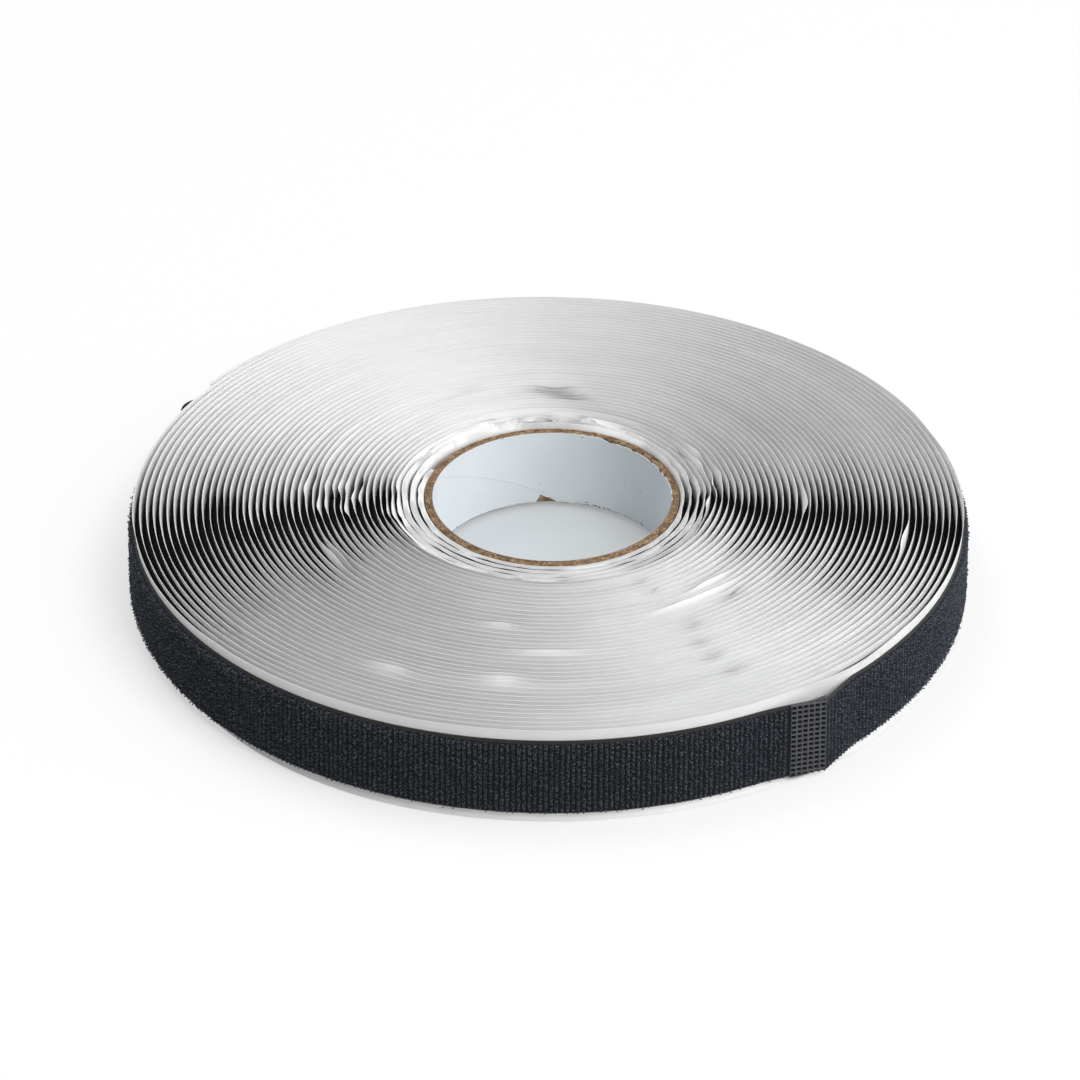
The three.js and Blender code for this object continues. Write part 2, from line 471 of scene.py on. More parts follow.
# Dust gathers within the last few per cent of the height and, less so, towards an angle in radians
DUST_POWER, DUST_AT_EDGE = 14.0, 0.17
DUST_ANGLE, DUST_AT_ANGLE = 0.6, 0.025
# Limits: noise above the first is a grain of dust, and height above the second is the bare cut
DUST_ABOVE, CUT_ABOVE = 0.74, 0.985


def core_facing():
    """White by a slow noise, and brown where noise + nearness to an edge, to a power, passes a limit. The
    seam is a step in the relief, along height = rise x angle + a height."""
    finish = Finish("core_facing_paper")
    cloud = finish.noise(60, detail=4)
    fibre = finish.noise(1400, detail=3)
    dust = finish.noise(560, detail=3, roughness=0.65)
    middle = (core_high[2] + core_low[2]) / 2 * MM
    half = (core_high[2] - core_low[2]) / 2 * MM
    near_edge = (finish.height() - middle).absolute() * (1 / half)
    at_edge = near_edge.maths("POWER", near_edge, DUST_POWER) * DUST_AT_EDGE
    at_angle = near_edge.maths("COSINE", finish.angle() - DUST_ANGLE) * DUST_AT_ANGLE
    dusty = dust + at_edge + at_angle
    seam = finish.height() - finish.angle() * SEAM_RISE * MM - SEAM_HEIGHT * MM
    step = finish.node("ShaderNodeMapRange", inputs={
        "Value": seam, "From Min": -SEAM_WIDTH / 2, "From Max": SEAM_WIDTH / 2})
    white = finish.mix(cloud, (0.685, 0.72, 0.745), (0.775, 0.805, 0.825))
    colour = finish.mix((dusty > DUST_ABOVE) + (near_edge > CUT_ABOVE), white, (0.19, 0.13, 0.085))
    return finish.surface(Base_Color=colour, Roughness=0.42 + cloud * 0.2,
                          Normal=finish.bump(fibre * 0.3 + cloud * 0.3 + step * 2.0, 0.5, 0.00008))


KRAFT_BOARD = kraft_board()
CORE_FACING = core_facing()
print("core finishes:", KRAFT_BOARD.name, "and", CORE_FACING.name)

# %% [markdown]
# ## Hook tape finishes
# The ground is a tight black weave, matt and slightly warm where it is bare at the selvages. Two sines,
# one along the strip and one across it, give the weave. The hooks are nylon filament, cooler and
# shinier, and the pale specks in their colour are painted glints. The bed between them and the tape
# inside the roll are darker copies of the black tape, deep black: painted shade. The back is a layer of
# acrylic adhesive, and at the joint between two lengths both tapes are melted into a smooth plate with
# pits, which an attribute of the mesh darkens as painted shade.

# %% Hook tape finishes
WEAVE_PITCH = 0.00055  # metres


def hook_ground():
    """Black weave: a sine along the strip times a sine across it, as relief and as a little shade."""
    finish = Finish("hook_tape_ground")
    along, up = finish.along_strip()
    warp = (up * (2 * math.pi / WEAVE_PITCH)).wave()
    weft = (along * (2 * math.pi / WEAVE_PITCH)).wave()
    weave = warp * weft
    lint = finish.noise(900, detail=3)
    colour = finish.mix(lint * 0.6 + weave * 0.2, (0.014, 0.0138, 0.0142), (0.052, 0.051, 0.052))
    return finish.surface(Base_Color=colour, Roughness=0.7 + lint * 0.2,
                          Normal=finish.bump(weave, 0.6, 0.00012), Sheen_Weight=0.1,
                          Sheen_Roughness=0.5, Specular_IOR_Level=0.25)


def hook_filament():
    """Three shades of blue-black on a ramp, by a noise that is finer than the ribs; the palest shade paints
    glints.
    """
    finish = Finish("hook_filament")
    glint_patch = finish.noise(1300, detail=2)
    # The palest stop of the ramp paints glints on the filament.
    colour = finish.ramp(glint_patch, (0.36, (0.026, 0.031, 0.041)), (0.52, (0.07, 0.081, 0.1)),
                         (0.68, (0.155, 0.175, 0.21)))
    return finish.surface(Base_Color=colour, Roughness=0.2 + glint_patch * 0.2, Specular_IOR_Level=0.05)


def black_tape(name, dark, pale):
    """Matt black tape between the hooks or inside the roll, mixed from two shades and darker than the
    ground: painted shade.
    """
    finish = Finish(name)
    lint = finish.noise(900, detail=3)
    colour = finish.mix(lint, dark, pale)
    return finish.surface(Base_Color=colour, Roughness=0.8 + lint * 0.15, Specular_IOR_Level=0.15)


def tape_adhesive():
    """Shiny dark grey by a slow noise, whose sum with a fine one is the relief."""
    finish = Finish("tape_adhesive")
    flow = finish.noise(140, detail=4)
    grain = finish.noise(1800, detail=2)
    colour = finish.mix(flow, (0.035, 0.035, 0.037), (0.095, 0.095, 0.098))
    return finish.surface(Base_Color=colour, Roughness=0.18 + flow * 0.25,
                          Normal=finish.bump(grain + flow, 0.35, 0.0001))


def weld_plate():
    """Dark grey by a noise, mixed with black by the share of a pit: the black is painted shade in the pits.
    """
    finish = Finish("weld_plate")
    pit = finish.node("ShaderNodeAttribute", {"attribute_name": "pit"}, output="Fac")
    melt = finish.noise(700, detail=3)
    plate = finish.mix(melt, (0.046, 0.048, 0.053), (0.108, 0.112, 0.119))
    # Black in the pits is painted shade.
    colour = finish.mix(pit, plate, (0.001, 0.001, 0.0012))
    return finish.surface(Base_Color=colour, Roughness=0.45 + melt * 0.25 + pit * 0.3,
                          Normal=finish.bump(melt, 0.4, 0.0001), Specular_IOR_Level=0.2)


HOOK_GROUND = hook_ground()
HOOK_FILAMENT = hook_filament()
TAPE_ADHESIVE = tape_adhesive()
WELD_PLATE = weld_plate()
# Darker copy of the black tape for the tape inside the roll: painted shade.
SHADED_TAPE = black_tape("shaded_tape", (0.004, 0.0042, 0.0048), (0.012, 0.0123, 0.0135))
# Darker copy of the black tape for the bed under the hooks: painted shade.
SHADED_HOOK_BED = black_tape("shaded_hook_bed", (0.01, 0.0107, 0.0125), (0.026, 0.0275, 0.031))
TAPE_FINISHES = (HOOK_GROUND, TAPE_ADHESIVE, HOOK_FILAMENT, SHADED_TAPE, SHADED_HOOK_BED)
GROUND, ADHESIVE, FILAMENT, SHADED_IN_ROLL, SHADED_BED = range(len(TAPE_FINISHES))
print("finishes:", len(bpy.data.materials))

# %% [markdown]
# ## Core
# The core is a facing and four plies, each its own tube. A knife cut them to length, which leaves the
# edges slightly ragged: the plies differ by a hair in height and the facing is chewed in places, most
# of all on the right. At the back, a triangle of facing is torn off at the lower edge. Each tube is a
# rectangle carried round a circle, with its upper and lower edges as functions of the angle.

# %% Core tubes
CORE_COLUMNS = 720
FACING_THICKNESS = 0.3
PLIES, PLY_THICKNESS = 4, 0.5
# How far a ply's lower and upper edges lie inside its node's box
PLY_CUT_LOW, PLY_CUT_HIGH = 0.05, 0.12
# How ragged its upper edge is: heights of a coarse and of a fine ripple
COARSE_CUT, FINE_CUT = 0.1, 0.07
core_bore_radius = facing_high[0] - FACING_THICKNESS
round_turn = 1 + np.arange(CORE_COLUMNS) / CORE_COLUMNS
core_angle = np.degrees(strip_angle(round_turn)) % 360
core_from_right = (core_angle + 180) % 360 - 180


def chewed(seed, cells, deepest, power=3.0):
    """Depth of bites in a cut edge: the positive part of a ripple to a power, so that most is small."""
    return deepest * np.clip(ripple(seed, cells, round_turn, soft=False), 0, 1) ** power


def core_tube(inside, outside, bottom, top, bevel=0.08):
    """A rectangle with small bevels carried round the axis; bottom and top are heights per column."""
    bottom = np.broadcast_to(bottom, CORE_COLUMNS)[:, None]
    top = np.broadcast_to(top, CORE_COLUMNS)[:, None]
    heights = np.concatenate([bottom, bottom + bevel, top - bevel, top], axis=1)
    outer = outside - bevel * np.array([1, 0, 0, 1])
    inner = inside + bevel * np.array([1, 0, 0, 1])
    turn = round_turn[:, None]
    return Surface(outline(on_roll(turn, outer, heights), on_roll(turn, inner, heights)), looped=True)


def make_plies():
    """The board tubes. Their upper edges are ragged by a coarse and a fine ripple."""
    for k in range(1, PLIES + 1):
        low, high = box_corners(f"core_board_ply_{k}")
        outside = (high[0] - low[0]) / 2
        inside = outside - PLY_THICKNESS
        coarse, fine = ripple(40 + k, 150, round_turn), ripple(50 + k, 333, round_turn)
        ragged = COARSE_CUT * coarse + FINE_CUT * fine
        tube = core_tube(inside, outside, low[2] + PLY_CUT_LOW, high[2] - PLY_CUT_HIGH + ragged)
        settle(make_piece(f"core_ply_{k}", [tube], [KRAFT_BOARD]), "kraft_board", f"core_board_ply_{k}")


FACING_CUT = 0.05
# Where the facing is chewed most: angle and reach in degrees, at its upper and its lower edge, and how
# much lower the upper edge is there
CHEWED_TOP, CHEWED_BOTTOM = (38, 34), (62, 36)
CHEWED_DOWN = 0.45
# The torn triangle: where it starts, peaks and ends, in degrees, and its height
TEAR_FROM, TEAR_PEAK, TEAR_TO, TEAR_HEIGHT = 87.8, 95.7, 98.3, 3.0


def core_bell(angle, reach):
    """1 at an angle and less to both sides: exp of minus the square of the distance in reaches."""
    return np.exp(-((core_from_right - angle) / reach) ** 2)


def make_facing():
    """The lining. Ripples chew its edges, most of all at the right, and a triangle is torn off below."""
    bites = chewed(61, cells=300, deepest=0.3)
    right_bites = CHEWED_DOWN + chewed(62, cells=130, deepest=2.2, power=1.5)
    top = core_high[2] - FACING_CUT - bites - core_bell(*CHEWED_TOP) * right_bites
    low_bites = chewed(63, cells=240, deepest=0.5, power=2.0)
    low_right_bites = chewed(64, cells=150, deepest=1.3, power=1.6)
    tear = np.interp(core_from_right, (TEAR_FROM, TEAR_PEAK, TEAR_TO), (0, TEAR_HEIGHT, 0))
    bottom = core_low[2] + low_bites + core_bell(*CHEWED_BOTTOM) * low_right_bites + tear
    tube = core_tube(core_bore_radius, facing_high[0], bottom, top, bevel=0.05)
    settle(make_piece("core_facing", [tube], [CORE_FACING]), "core_facing", "core_inner_facing")


make_plies()
make_facing()

# %% [markdown]
# ## Places where the last turn leaves the roll
# Two things push the last turn off the even spiral. The weld is a stiff plate that stays straight, so
# it stands off the roll at its far end, where it lifts the liner a little too. And just past the free
# end the tape has buckled off its liner. The last turn has also slid outwards at its lower edge.

# %% Lifts of the last turn
# Angles on the last turn in degrees, counted down from the free end, and heights in mm
LAP_START, LAP_END = -57.8, -53.2
BULGE_START, BULGE_END, BULGE_HEIGHT = -63.5, -43.0, 4.2
LINER_LIFT_AT, LINER_LIFT_WIDTH, LINER_LIFT = -47.0, 6.5, 0.6
BUCKLE_AT, BUCKLE_WIDTH, BUCKLE_HEIGHT = -205.4, 3.1, 4.9


def last_turn_degrees(turn):
    """Angle of a turn number in degrees, counted down from the free end without a jump at -180."""
    return FREE_END + 360 * (np.asarray(turn, float) - TURNS)


def weld_bulge(degrees):
    """Straight lines that leave the roll at one end of the bulge and meet it again at the other: a
    line leaves a circle as the square of the distance from where it touches."""
    rise = np.clip((degrees - BULGE_START) / (LAP_END - BULGE_START), 0, 1)
    fall = np.clip((BULGE_END - degrees) / (BULGE_END - LAP_END), 0, 1)
    return BULGE_HEIGHT * np.where(degrees < LAP_END, rise, fall) ** 2


def liner_lift(turn):
    """The liner lifted beside the weld: a bell curve of the angle."""
    away = (last_turn_degrees(turn) - LINER_LIFT_AT) / LINER_LIFT_WIDTH
    return LINER_LIFT * np.exp(-away ** 2)


def tape_lift(turn):
    """The tape's distance from the even spiral: the weld's bulge or the liner's lift, whichever is
    larger, and a bell curve for the buckle."""
    degrees = last_turn_degrees(turn)
    buckle = BUCKLE_HEIGHT * np.exp(-((degrees - BUCKLE_AT) / BUCKLE_WIDTH) ** 2)
    return np.maximum(weld_bulge(degrees), liner_lift(turn)) + buckle


ADHESIVE_GAP = 0.03
FLARE = 1.2
LAST_FROM, LAST_FULL = TURNS - 1.4, TURNS - 1


def flare(turn):
    """How much further out the lower edge of the last turn lies than its upper edge."""
    return FLARE * smoothstep(turn, LAST_FROM, LAST_FULL)


def tape_radius(turn):
    """Sticky face of the tape: on the outer face of its liner, with the last turn's lifts."""
    return liner_radius(turn) + LINER_THICKNESS + ADHESIVE_GAP + tape_lift(turn)


print(f"weld stands off by {weld_bulge(np.array(LAP_END)):.1f} mm")

# %% [markdown]
# ## Release liner
# The liner is three millimetres wider than the tape at each edge, and those free borders are what the
# roll shows from above: white walls with black tape at the bottom of the gaps. They lean outwards,
# wave a little and are crushed close to the core. The lower ones carry the roll and splay further.
# Each border is a short curve in height, so a few rows are enough. Its lean, its dents and its folds
# are worked out one after another here, each as a function of the turn.

# %% Lean of the borders
# How far an upper edge leans out on average, and how much more at the left than in front
LEAN, LEAN_TO_LEFT = 0.34, 0.16
# How far a lower edge leans out, at most, and on the last turn how much further in front and in at the left
SPLAY, MOST_SPLAY = 1.1, 2.0
FRONT_SPLAY, TUCK = 0.8, 3.4
TUCKED_TO, SPLAYED_FROM = -160, -112
LAST_LOW_FULL = TURNS - 1.2
# Waves of an edge: slow, quick, and each turn's own ones, which fade over some turns from the core
SLOW_WAVE, QUICK_WAVE = 0.14, 0.06
OWN_WAVE, OWN_WAVE_AT_CORE, OWN_WAVE_FADE = 0.12, 0.2, 14


def degrees_from(turn, angle):
    """Angle in degrees from a place round the roll, between -180 and 180."""
    return (np.degrees(strip_angle(turn)) - angle + 180) % 360 - 180


def border_lean(turn, seed, mean):
    """How far a border's edge leans out, in millimetres: a mean, a slow and a quick wave, and each
    turn's own waves, which are larger near the core."""
    slow = SLOW_WAVE * ripple(seed, 24, turn, deep=4)
    quick = QUICK_WAVE * ripple(seed + 1, 90, turn, deep=2)
    loose = OWN_WAVE + OWN_WAVE_AT_CORE * np.exp(-turn / OWN_WAVE_FADE)
    own = loose * (ripple(seed + 4, 13, turn) + 0.5 * ripple(seed + 5, 37, turn))
    return mean + slow + quick + own


def last_low_lean(turn):
    """How far the lower border of the last turn leans out beyond the others: it is folded in under the
    tape at the left and splayed in front, where it shows."""
    front = smoothstep(last_turn_degrees(turn), TUCKED_TO, SPLAYED_FROM)
    return smoothstep(turn, LAST_FROM, LAST_LOW_FULL) * (FRONT_SPLAY * front - TUCK * (1 - front))


print(f"upper edges lean out by {LEAN} mm and lower ones by {SPLAY} mm on average")

# %% [markdown]
# ## Dents
# Handling has dented the upper borders here and there. A noise would put dents everywhere, so these are
# listed one by one, each as a bell curve in two directions: along the turn and from turn to turn. Where a
# border leans out it darkens in front and brightens at the back, and where it leans in, the reverse.

# %% Dents of the upper borders
# Each dent: turn, angle in degrees, reach in turns, reach in degrees, and lean out in mm, or in if negative
DENTS_BEHIND_CORE = (
    (0.3, 77, 0.6, 4, -1.6), (1.3, 84, 0.5, 3, 1.4), (1.5, 100, 0.5, 3, 1.4), (2.2, 95, 0.6, 6, -1.4),
    (1.2, 118, 0.5, 5, -1.2), (2.6, 70, 0.8, 5, 1.4), (1.8, 58, 0.5, 4, -1.2), (3.4, 108, 0.8, 5, -1.0),
    (2.82, 84, 0.3, 8, -6), (3.87, 102, 0.3, 9, -4.5), (3.77, 66, 0.3, 8, -5),
)
DENTS_LEFT = (
    (4.2, -166, 1.5, 5, 1.0), (9.6, -175.4, 0.7, 3, 1.2), (8.9, 177, 0.6, 3, -0.9),
    (11.6, 179, 0.7, 3, 1.3), (11.2, -170, 0.9, 3, 1.1), (10.6, 181, 0.5, 2.5, -1.0),
    (12.6, -176, 0.8, 3, -0.8), (14.8, -172.5, 0.8, 3, 1.1), (13.8, 178, 0.8, 3, 0.8),
    (15.4, 166, 0.6, 8, 1.0), (15.9, 152, 0.5, 7, 0.9), (17.3, 179, 0.7, 3, 0.9),
    (16.4, 175, 0.5, 3, -0.9), (16.7, -151, 0.7, 5, -1.6), (24, -172, 3, 4, 0.4),
    (28.7, -174, 3, 4, -0.45), (42.6, -166, 0.8, 5, -0.4),
)
WRINKLES_BACK = (
    (8.81, 83, 0.3, 6, -1.6), (9.82, 85, 0.3, 7, -2.0), (10.82, 87, 0.3, 8, -2.1),
    (11.83, 90, 0.3, 7, -2.0), (12.83, 89, 0.3, 6, -1.7), (14.8, 114, 1.5, 5, -0.6),
)
DENTS_FRONT = (
    (32.26, -115.5, 1.2, 3, -1.9), (30.31, -97, 1.5, 3, -1.6), (17.3, -101, 0.4, 3, -1.8),
    (23.33, -90, 0.4, 6, -1.5), (16.43, -54, 0.35, 8, -2.05), (14.45, -47, 0.3, 5, -1.5),
    (18.44, -47, 1.0, 3, 0.9), (8.41, -62, 0.8, 1.5, 0.9), (11.41, -61, 0.8, 1.5, 0.9),
    (21.42, -60, 1.0, 1.5, 0.7), (25.41, -62, 1.2, 1.6, 0.9), (29.41, -62, 1.2, 1.6, 0.9),
    (33.4, -61, 1.2, 1.6, 0.8), (42.7, -48, 0.6, 6, 0.5),
)
DENTS_RIGHT = (
    (18.57, -4, 0.4, 4, 1.2), (34.55, -13.5, 0.4, 3.5, -1.4), (4.64, 20, 0.35, 4, 1.3),
    (5.6, 5, 0.35, 3.5, -1.2), (3.66, 28, 0.35, 4, -1.4), (5.66, 28, 0.35, 4, 1.2),
    (4.56, -8, 0.35, 4, -1.1), (6.62, 12, 0.35, 4, 0.9), (42.6, 16, 0.8, 5, -0.5),
)
DENTS = DENTS_BEHIND_CORE + DENTS_LEFT + WRINKLES_BACK + DENTS_FRONT + DENTS_RIGHT


def dents(turn):
    """Sum of the dents: lean x exp(minus the squares of both distances, in reaches)."""
    total = np.zeros_like(turn)
    for at, angle, turns_wide, degrees_wide, lean in DENTS:
        away = degrees_from(turn, angle) / degrees_wide
        total += lean * np.exp(-((turn - at) / turns_wide) ** 2 - away ** 2)
    return total


print(len(DENTS), "dents")

# %% [markdown]
# ## Folds and corners next to the core
# The first turns were wound tightly round a small core. Their upper borders are crushed: folded flat in
# front, standing at the right, and creased at the back. The paper also runs in flats with corners
# between them. The folds come from sharp noise whose mean and spread depend on the side, and a corner
# is a straight slope up and down again, shared by neighbouring turns.

# %% Folds and corners
# Where minus the sine of the angle starts to count as the front, and where it counts in full
FRONT_FROM, FRONT_FULL = -0.3, 0.6
# Turns that are crushed in full and turns after which none is: at the back, and how many more in front
CRUSHED_TURNS, CRUSHED_TURNS_FRONT = 2.0, 1.2
SOUND_TURNS, SOUND_TURNS_FRONT = 4.2, 1.6
# Upright borders at the right: where they begin and where they end, in degrees
UPRIGHT_FROM, UPRIGHT_TO = (-20, -13), (22, 60)
UNEVEN_AT, UNEVEN_REACH = 95, 38
# Fold in radians, its mean and its spread: anywhere, and what front, right and back add to that
FOLD_MEAN = np.array([0.75, 0.9, -0.6, -0.55])
FOLD_SPREAD = np.array([1.3, -0.8, -0.5, 0.4])
# Furthest fold inwards, and the turns in which it becomes possible, past the core's own edge
FOLD_IN, FOLD_IN_FROM, FOLD_IN_FULL = 0.9, 0.6, 1.4
FLAT_HEIGHT, FLATS_FADE = 0.3, 5
# Corners: angle in degrees, reach to each side in degrees, height in mm, and the turns that have them
CORNERS = ((3, 24, 1.2), (28, 12, 0.5), (171, 20, 1.1), (196, 14, 0.6))
CORNERS_GROW, CORNERS_FADE = (0.4, 2.6), (4, 10)


def to_front(turn):
    """0 at the back and 1 in front: a smooth step of minus the sine of the angle."""
    return smoothstep(-np.sin(strip_angle(turn)), FRONT_FROM, FRONT_FULL)


def crush(turn):
    """1 near the core, fading out after a few turns, later at the front."""
    front = to_front(turn)
    crushed_to = CRUSHED_TURNS + CRUSHED_TURNS_FRONT * front
    return 1 - smoothstep(turn, crushed_to, SOUND_TURNS + SOUND_TURNS_FRONT * front)


def fold(turn):
    """Angle in radians at the edge of a crushed border: a mean plus sharp noise times a spread, both of
    them sums over the front, the right and the back."""
    degrees = degrees_from(turn, 0)
    right = smoothstep(degrees, *UPRIGHT_FROM) * (1 - smoothstep(degrees, *UPRIGHT_TO))
    back = np.exp(-(degrees_from(turn, UNEVEN_AT) / UNEVEN_REACH) ** 2)
    shares = np.stack([np.ones_like(turn), to_front(turn), right, back])
    sharp = 0.5 * ripple(23, 29, turn, soft=False) + 0.5 * ripple(24, 67, turn, soft=False)
    folded = FOLD_MEAN @ shares + sharp * (FOLD_SPREAD @ shares)
    return np.maximum(folded, -FOLD_IN * smoothstep(turn, FOLD_IN_FROM, FOLD_IN_FULL))


def layer_wobble(turn):
    """Flats and corners of the first turns: noise along straight lines, and for each corner its height
    times 1 minus the distance in reaches."""
    fade = np.exp(-turn / FLATS_FADE) * smoothstep(turn, 0, 2)
    flats = FLAT_HEIGHT * fade * (1 + ripple(31, 13, turn, deep=3, soft=False))
    near = smoothstep(turn, *CORNERS_GROW) * (1 - smoothstep(turn, *CORNERS_FADE))
    raised = np.zeros_like(turn)
    for angle, reach, height in CORNERS:
        raised += height * np.clip(1 - np.abs(degrees_from(turn, angle)) / reach, 0, 1)
    return flats + near * raised


print(f"corners raise the third turn by up to {layer_wobble(np.linspace(3, 4, 90)).max():.1f} mm")

# %% [markdown]
# ## Liner pieces
# With the leans known, the liner is one outline carried along the spiral. A border leaves the tape's
# edge upright and bends from there, so its rows are summed along the paper and keep its true width.
# The liner is cut into four pieces of equal length to keep each mesh small.

# %% Release liner
BORDER_ROWS = 6
# Where the sharp bend of a crushed border starts and ends, in shares of its width
BEND_FROM, BEND_TO = 0.1, 0.65
# Angle in radians at the edge for each share of its width that a border leans out
ANGLE_PER_LEAN = 1.5
# Share of its waves and dents that a crushed border loses, and the turns in which the first border rises
CRUSH_LOSS, START_RISE = 0.6, 0.08


def bent(angle, crushed):
    """A border's profile: it leaves the tape's edge upright and bends up to an angle at its edge, evenly
    as the root of the distance, or with one sharp bend where it is crushed. Gives the offset and the
    height of each row, summed along the paper."""
    step = overhang / (BORDER_ROWS - 1)
    middle = (np.arange(BORDER_ROWS - 1) + 0.5) / (BORDER_ROWS - 1)
    along = angle * (np.sqrt(middle) * (1 - crushed) + smoothstep(middle, BEND_FROM, BEND_TO) * crushed)
    zero = np.zeros((len(angle), 1))
    offset = np.concatenate([zero, np.cumsum(np.sin(along), axis=1)], axis=1) * step
    height = np.concatenate([zero, np.cumsum(np.cos(along), axis=1)], axis=1) * step
    return offset, height


def strip_points(turn, face, thickness, heights):
    """Outlines of a strip along the spiral: its inner face, and its outer face a thickness further out."""
    turn = turn[:, None]
    return outline(on_roll(turn, face + thickness, heights), on_roll(turn, face, heights))


def strip_uv(turn, heights):
    """UV of those outlines: the length of strip up to the turn, and the height."""
    heights = np.atleast_2d(heights)
    return np.stack(np.broadcast_arrays(strip_length(turn[:, None]), outline(heights, heights)), axis=-1)


def liner_surface(turn):
    """The liner's outline at each turn: the plain middle and the two bent borders."""
    mean = LEAN - LEAN_TO_LEFT * np.cos(strip_angle(turn))
    crushed = crush(turn)
    high_lean = ANGLE_PER_LEAN * (border_lean(turn, 21, mean) + dents(turn)) / overhang
    high_angle = high_lean * (1 - CRUSH_LOSS * crushed) + fold(turn) * crushed
    high, up = bent(high_angle[:, None], crushed[:, None])
    splay = np.clip(border_lean(turn, 11, SPLAY), 0, MOST_SPLAY)
    low_angle = ANGLE_PER_LEAN * (splay + last_low_lean(turn)) / overhang
    low, down = bent(low_angle[:, None], 0)
    up = up * smoothstep(turn, 0.0, START_RISE)[:, None]
    heights = np.concatenate([liner_bottom + (down[:, -1:] - down)[:, ::-1], tape_top + up], axis=1)
    face = (liner_radius(turn) + liner_lift(turn) + layer_wobble(turn))[:, None]
    face = face + np.concatenate([low[:, ::-1] + flare(turn)[:, None], high], axis=1)
    return Surface(strip_points(turn, face, LINER_THICKNESS, heights), strip_uv(turn, heights))


LINER_STEP = 2.0
LINER_PIECES = 4
LINER_START = 0.02
liner_end = turn_at(hinges[0] - tail_step / 2)
liner_turns = even_turns(LINER_START, liner_end, LINER_STEP)
cuts = np.linspace(0, len(liner_turns) - 1, LINER_PIECES + 1).round().astype(int)
for k in range(LINER_PIECES):
    stretch = liner_turns[cuts[k]:cuts[k + 1] + 1]
    surface = liner_surface(stretch)
    liner = make_piece(f"release_liner_winding_{k + 1}", [surface], [LINER_PAPER], crease=15)
    settle(liner, "release_liner", *(["release_liner"] if k == LINER_PIECES - 1 else []))

# %% [markdown]
# ## Tape inside the roll
# Under the turns only the upper edge of the tape shows, at the bottom of each gap: the ground's bare
# selvage, and beside it the block of pressed hooks a little lower down. A stepped outline gives both,
# and its outer face takes a darker copy of the black tape, painted shade for the bottom of each gap.

# %% Wound tape
GROUND_THICKNESS = 0.5
PRESSED_THICKNESS = 1.78
SELVAGE = 2.2
FIELD_SLOPE = 0.4
HOOK_FIELD_BOTTOM = tape_bottom + SELVAGE
HOOK_FIELD_TOP = tape_top - SELVAGE
# Angle from which the hooks are open to view: the last turn and some degrees more
OPEN_EXTRA = 45
OPEN_FROM = FREE_END - OPEN_EXTRA - 360


def side_finishes(outer, inner, rows):
    """Finish of each side of a strip's outline: outer face and upper edge, inner face, lower edge."""
    return [outer] * rows + [inner] * (rows - 1) + [outer]


def wound_tape_surface(turn):
    """A ground as wide as the tape with a block of hooks on its outer face, as one outline."""
    rows = np.array([tape_bottom, HOOK_FIELD_BOTTOM, HOOK_FIELD_BOTTOM + FIELD_SLOPE,
                     HOOK_FIELD_TOP - FIELD_SLOPE, HOOK_FIELD_TOP, tape_top])
    depth = np.array([GROUND_THICKNESS, GROUND_THICKNESS, PRESSED_THICKNESS,
                      PRESSED_THICKNESS, GROUND_THICKNESS, GROUND_THICKNESS])
    face = (tape_radius(turn) + layer_wobble(turn))[:, None]
    # Outer face and edges take the darker copy of the tape, painted shade for the bottom of each gap.
    sides = side_finishes(SHADED_IN_ROLL, ADHESIVE, len(rows))
    return Surface(strip_points(turn, face, depth, rows), strip_uv(turn, rows), sides)


WOUND_STEP = 3.0
WOUND_START, WOUND_CUT = 0.04, 28.0
open_turn = turn_at(OPEN_FROM)
for k, (first, last) in enumerate(((WOUND_START, WOUND_CUT), (WOUND_CUT, open_turn))):
    surface = wound_tape_surface(even_turns(first, last, WOUND_STEP))
    wound = make_piece(f"hook_tape_winding_{k + 1}", [surface], TAPE_FINISHES)
    settle(wound, "hook_tape", *(["inner_turns"] if k == 0 else []))

# %% [markdown]
# ## The open turn: ground
# On the last turn the tape is open to view. It has slid down a little from the turns inside, so its
# edges get their own heights. The ground is a thin outline with rounded selvages, carried along the
# spiral. The hooks stand on it, and the strip under them has the darker finish of the hook bed, painted
# shade under the hooks.

# %% Ground of the open turn
# How far the open turn's lower and upper edges lie below those inside the roll
SLID_BOTTOM, SLID_TOP = 1.15, 0.75
# Bare selvages below and above the hooks
BARE_BOTTOM, BARE_TOP = 0.75, 0.95
# Rows of the ground, measured up from its lower edge and down from its upper edge, and its rounding
LOWER_ROWS, UPPER_ROWS = (0.2, 0.4), (1.0, 0.2)
SELVAGE_ROUNDING = np.array([0.6, 0.95, 1, 1, 0.95, 0.6])
# The second length's height on the lap, and the degrees in which it comes down from there
LAP_HEIGHT, LAP_FALL = 0.62, 8
open_bottom, open_top = tape_bottom - SLID_BOTTOM, tape_top - SLID_TOP
open_field_bottom, open_field_top = open_bottom + BARE_BOTTOM, open_top - BARE_TOP


def lap_step(turn):
    """The second length lies on the first at the weld, then comes down to the liner."""
    return LAP_HEIGHT * (1 - smoothstep(last_turn_degrees(turn), LAP_END, LAP_END + LAP_FALL))


def second_length_radius(turn):
    """Sticky face of the second length of tape."""
    return tape_radius(turn) + lap_step(turn)


def ground_surface(turn, radius):
    """The woven ground: flat on the sticky side, rounded off at both selvages by shares of its thickness,
    with the darker hook bed, painted shade under the hooks, between the lower rows and the upper ones."""
    rows = np.array([open_bottom, *(open_bottom + row for row in LOWER_ROWS),
                     *(open_top - row for row in UPPER_ROWS), open_top])
    depth = GROUND_THICKNESS * SELVAGE_ROUNDING
    face = radius(turn)[:, None] + flare(turn)[:, None] * (open_top - rows) / (open_top - open_bottom)
    sides = side_finishes(GROUND, ADHESIVE, len(rows))
    # The strip under the hooks takes the darker copy of the tape: painted shade.
    sides[len(LOWER_ROWS)] = SHADED_BED
    return Surface(strip_points(turn, face, depth, rows), strip_uv(turn, rows), sides)


GROUND_STEP = 1.5
